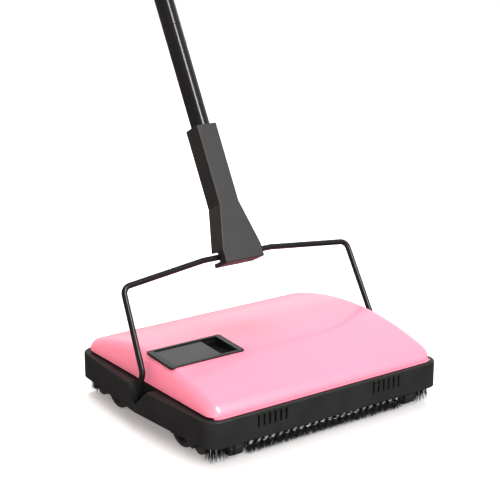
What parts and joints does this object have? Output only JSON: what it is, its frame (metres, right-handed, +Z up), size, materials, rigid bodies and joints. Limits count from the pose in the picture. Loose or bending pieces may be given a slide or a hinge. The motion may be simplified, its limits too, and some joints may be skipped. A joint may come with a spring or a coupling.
{
  "type": "carpet sweeper",
  "caption": "Manual carpet sweeper: low body with brush rollers and dust pans, wire bail and long jointed tube handle with a grip.",
  "frame": {"origin": "on the floor, under the middle of the whole object's outline, so the body stands in front of it and the leaning handle behind", "axes": "+Z up from the floor, -Y towards the front of the body, the handle leaning back towards +Y, +X to the object's right"},
  "size_m": [0.297, 0.6148, 0.9782],
  "materials": {
    "pink_shell": "glossy",
    "black_housing": "satin",
    "black_gloss": "glossy",
    "grey_plate": "satin",
    "black_tube": "glossy powder coat",
    "steel": "bright",
    "tyre_rubber": "matt",
    "bristle": "stiff fibre"
  },
  "bodies": {
    "body": {"base_housing": "black_housing", "top_cover": "pink_shell", "cover_screws": "steel", "latch_bezel": "black_gloss", "release_spring": "steel", "idler_pins": "steel", "bail_bush_left": "black_gloss", "bail_bush_right": "black_gloss", "pan_hinge_rod_front": "steel", "pan_hinge_rod_rear": "steel", "bearing_block_front_left": "black_housing", "bearing_block_front_right": "black_housing", "bearing_block_rear_left": "black_housing", "bearing_block_rear_right": "black_housing", "wheel_axle_front_left": "steel", "wheel_axle_front_right": "steel", "wheel_axle_rear_left": "steel", "wheel_axle_rear_right": "steel", "edge_brush_front_left": "bristle", "edge_brush_front_right": "bristle", "edge_brush_rear_left": "bristle", "edge_brush_rear_right": "bristle"},
    "bail": {"bail_wire": "black_tube", "bail_clips": "steel"},
    "handle": {"handle_socket": "black_housing", "handle_tube_1": "black_tube", "handle_tube_2": "black_tube", "handle_tube_3": "black_tube", "handle_tube_4": "black_tube", "handle_grip": "black_housing", "button_spring_1": "steel", "button_spring_2": "steel", "button_spring_3": "steel"},
    "release": {"latch_slider": "grey_plate", "release_bar": "black_housing"},
    "button_1": {"snap_button_1": "steel"},
    "button_2": {"snap_button_2": "steel"},
    "button_3": {"snap_button_3": "steel"},
    "pan_front": {"dust_pan_front": "black_housing"},
    "roller_front": {"roller_core_front": "steel", "roller_bristles_front": "bristle", "roller_hub_front_left": "black_housing", "roller_hub_front_right": "black_housing"},
    "wheel_front_left": {"wheel_tyre_front_left": "tyre_rubber", "wheel_hub_front_left": "black_housing"},
    "idler_front_left": {"idler_front_left": "tyre_rubber"},
    "wheel_front_right": {"wheel_tyre_front_right": "tyre_rubber", "wheel_hub_front_right": "black_housing"},
    "idler_front_right": {"idler_front_right": "tyre_rubber"},
    "pan_rear": {"dust_pan_rear": "black_housing"},
    "roller_rear": {"roller_core_rear": "steel", "roller_bristles_rear": "bristle", "roller_hub_rear_left": "black_housing", "roller_hub_rear_right": "black_housing"},
    "wheel_rear_left": {"wheel_tyre_rear_left": "tyre_rubber", "wheel_hub_rear_left": "black_housing"},
    "idler_rear_left": {"idler_rear_left": "tyre_rubber"},
    "wheel_rear_right": {"wheel_tyre_rear_right": "tyre_rubber", "wheel_hub_rear_right": "black_housing"},
    "idler_rear_right": {"idler_rear_right": "tyre_rubber"}
  },
  "joints": [
    {"name": "bail_tilt", "type": "hinge", "parent": "body", "child": "bail", "pos_m": [0, -0.1874, 0.031], "axis": [1, 0, 0], "range_deg": [-45, 25]},
    {"name": "handle_pivot", "type": "hinge", "parent": "bail", "child": "handle", "pos_m": [0, -0.15174, 0.14475], "axis": [1, 0, 0], "range_deg": [-25, 60]},
    {"name": "pan_release", "type": "slide", "parent": "body", "child": "release", "axis": [1, 0, 0], "range_m": [0, 0.016], "stiffness_N_per_m": 200, "springref_m": -0.02, "deforming": ["release_spring"]},
    {"name": "button_1_press", "type": "slide", "parent": "handle", "child": "button_1", "axis": [1, 0, 0], "range_m": [-0.0026, 0], "stiffness_N_per_m": 800, "springref_m": 0.002, "deforming": ["button_spring_1"]},
    {"name": "button_2_press", "type": "slide", "parent": "handle", "child": "button_2", "axis": [1, 0, 0], "range_m": [-0.0026, 0], "stiffness_N_per_m": 800, "springref_m": 0.002, "deforming": ["button_spring_2"]},
    {"name": "button_3_press", "type": "slide", "parent": "handle", "child": "button_3", "axis": [1, 0, 0], "range_m": [-0.0026, 0], "stiffness_N_per_m": 800, "springref_m": 0.002, "deforming": ["button_spring_3"]},
    {"name": "pan_front_swing", "type": "hinge", "parent": "body", "child": "pan_front", "pos_m": [0, -0.20239, 0.02], "axis": [1, 0, 0], "range_deg": [0, 56]},
    {"name": "roller_front_spin", "type": "hinge", "parent": "body", "child": "roller_front", "pos_m": [0, -0.2959, 0.011], "axis": [1, 0, 0], "continuous": true},
    {"name": "wheel_front_left_spin", "type": "hinge", "parent": "body", "child": "wheel_front_left", "pos_m": [-0.1275, -0.2464, 0.0205], "axis": [1, 0, 0], "continuous": true},
    {"name": "idler_front_left_spin", "type": "hinge", "parent": "body", "child": "idler_front_left", "pos_m": [-0.115, -0.27753, 0.01452], "axis": [1, 0, 0], "continuous": true},
    {"name": "wheel_front_right_spin", "type": "hinge", "parent": "body", "child": "wheel_front_right", "pos_m": [0.1275, -0.2464, 0.0205], "axis": [1, 0, 0], "continuous": true},
    {"name": "idler_front_right_spin", "type": "hinge", "parent": "body", "child": "idler_front_right", "pos_m": [0.115, -0.27753, 0.01452], "axis": [1, 0, 0], "continuous": true},
    {"name": "pan_rear_swing", "type": "hinge", "parent": "body", "child": "pan_rear", "pos_m": [0, -0.17239, 0.02], "axis": [-1, 0, 0], "range_deg": [0, 56]},
    {"name": "roller_rear_spin", "type": "hinge", "parent": "body", "child": "roller_rear", "pos_m": [0, -0.0789, 0.011], "axis": [1, 0, 0], "continuous": true},
    {"name": "wheel_rear_left_spin", "type": "hinge", "parent": "body", "child": "wheel_rear_left", "pos_m": [-0.1275, -0.1284, 0.0205], "axis": [1, 0, 0], "continuous": true},
    {"name": "idler_rear_left_spin", "type": "hinge", "parent": "body", "child": "idler_rear_left", "pos_m": [-0.115, -0.09726, 0.01452], "axis": [1, 0, 0], "continuous": true},
    {"name": "wheel_rear_right_spin", "type": "hinge", "parent": "body", "child": "wheel_rear_right", "pos_m": [0.1275, -0.1284, 0.0205], "axis": [1, 0, 0], "continuous": true},
    {"name": "idler_rear_right_spin", "type": "hinge", "parent": "body", "child": "idler_rear_right", "pos_m": [0.115, -0.09726, 0.01452], "axis": [1, 0, 0], "continuous": true}
  ],
  "couplings": [
    {"joint": "pan_front_swing", "follows": "pan_release", "rad_per_m": 60},
    {"joint": "wheel_front_left_spin", "follows": "roller_front_spin", "ratio": 0.36585},
    {"joint": "idler_front_left_spin", "follows": "roller_front_spin", "ratio": -0.68797},
    {"joint": "wheel_front_right_spin", "follows": "roller_front_spin", "ratio": 0.36585},
    {"joint": "idler_front_right_spin", "follows": "roller_front_spin", "ratio": -0.68797},
    {"joint": "pan_rear_swing", "follows": "pan_release", "rad_per_m": 60},
    {"joint": "wheel_rear_left_spin", "follows": "roller_rear_spin", "ratio": 0.36585},
    {"joint": "idler_rear_left_spin", "follows": "roller_rear_spin", "ratio": -0.68797},
    {"joint": "wheel_rear_right_spin", "follows": "roller_rear_spin", "ratio": 0.36585},
    {"joint": "idler_rear_right_spin", "follows": "roller_rear_spin", "ratio": -0.68797}
  ]
}
